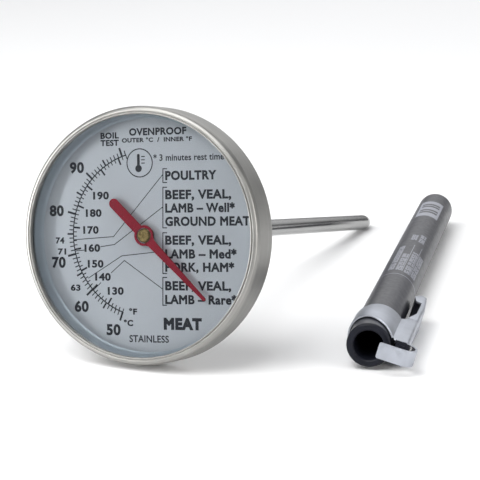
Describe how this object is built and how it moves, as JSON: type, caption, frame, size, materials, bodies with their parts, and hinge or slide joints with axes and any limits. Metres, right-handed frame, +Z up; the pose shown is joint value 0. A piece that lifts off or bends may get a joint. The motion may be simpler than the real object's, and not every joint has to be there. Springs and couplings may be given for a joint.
{
  "type": "dial meat thermometer with sheath",
  "caption": "Round dial meat thermometer with a red pointer and a long pointed stem, leaning on its rim beside a dark round-ended sheath with a bent steel pocket clip.",
  "frame": {"origin": "middle of the footprint, on the table the thermometer and sheath lie on", "axes": "+Z up; the sheath lies along +Y on the +X side with its mouth towards -Y; the dial faces -Y, turned 11.6 degrees and tipped back, and its stem runs back towards +Y and down to the table"},
  "size_m": [0.0796, 0.1478, 0.0512],
  "materials": {
    "steel": "satin stainless, turned and polished round the rim",
    "lens_glass": "clear flat glass",
    "black_rubber": "matt black",
    "inner_ring_plastic": "smooth blue-grey",
    "dial_print": "satin silver-grey with dark printed scale",
    "brass": "brushed",
    "spring_steel": "plain",
    "stem_steel": "polished stainless",
    "bimetal": "rolled strip",
    "red_pointer": "satin deep red",
    "sheath_plastic": "glossy dark grey",
    "clip_steel": "satin bright stainless"
  },
  "bodies": {
    "head": {"bezel_ring": "steel", "lens": "lens_glass", "lens_gasket": "black_rubber", "inner_ring": "inner_ring_plastic", "dial_plate": "dial_print", "dial_spacer": "steel", "case_back": "steel"},
    "stem": {"stem_collar": "brass", "friction_washer": "spring_steel", "calibration_nut": "steel", "stem_tube": "stem_steel", "stem_tip": "stem_steel", "upper_guide": "brass", "lower_guide": "brass", "bimetal_coil": "bimetal"},
    "pointer": {"pointer": "red_pointer", "pointer_hub": "brass", "pointer_shaft": "stem_steel", "shaft_collar": "brass"},
    "sheath": {"sheath_tube": "sheath_plastic", "clip_band": "clip_steel"},
    "clip": {"clip_tongue": "clip_steel"}
  },
  "joints": [
    {"name": "stem_turn", "type": "hinge", "parent": "head", "child": "stem", "pos_m": [-0.01336, -0.05873, 0.0248], "axis": [0.1977, 0.9633, -0.1815], "range_deg": [-30, 30]},
    {"name": "pointer_turn", "type": "hinge", "parent": "stem", "child": "pointer", "pos_m": [-0.01455, -0.06451, 0.02589], "axis": [0.1977, 0.9633, -0.1815], "range_deg": [-76, 210], "stiffness_Nm_per_rad": 0.0005},
    {"name": "sheath_slide", "type": "slide", "parent": "head", "child": "sheath", "axis": [0, 1, 0], "range_m": [0, 0.127]},
    {"name": "clip_flex", "type": "hinge", "parent": "sheath", "child": "clip", "pos_m": [0.03728, -0.04461, 0.003], "axis": [-0.2672, -0.0048, -0.9636], "range_deg": [0, 6], "stiffness_Nm_per_rad": 0.8}
  ]
}
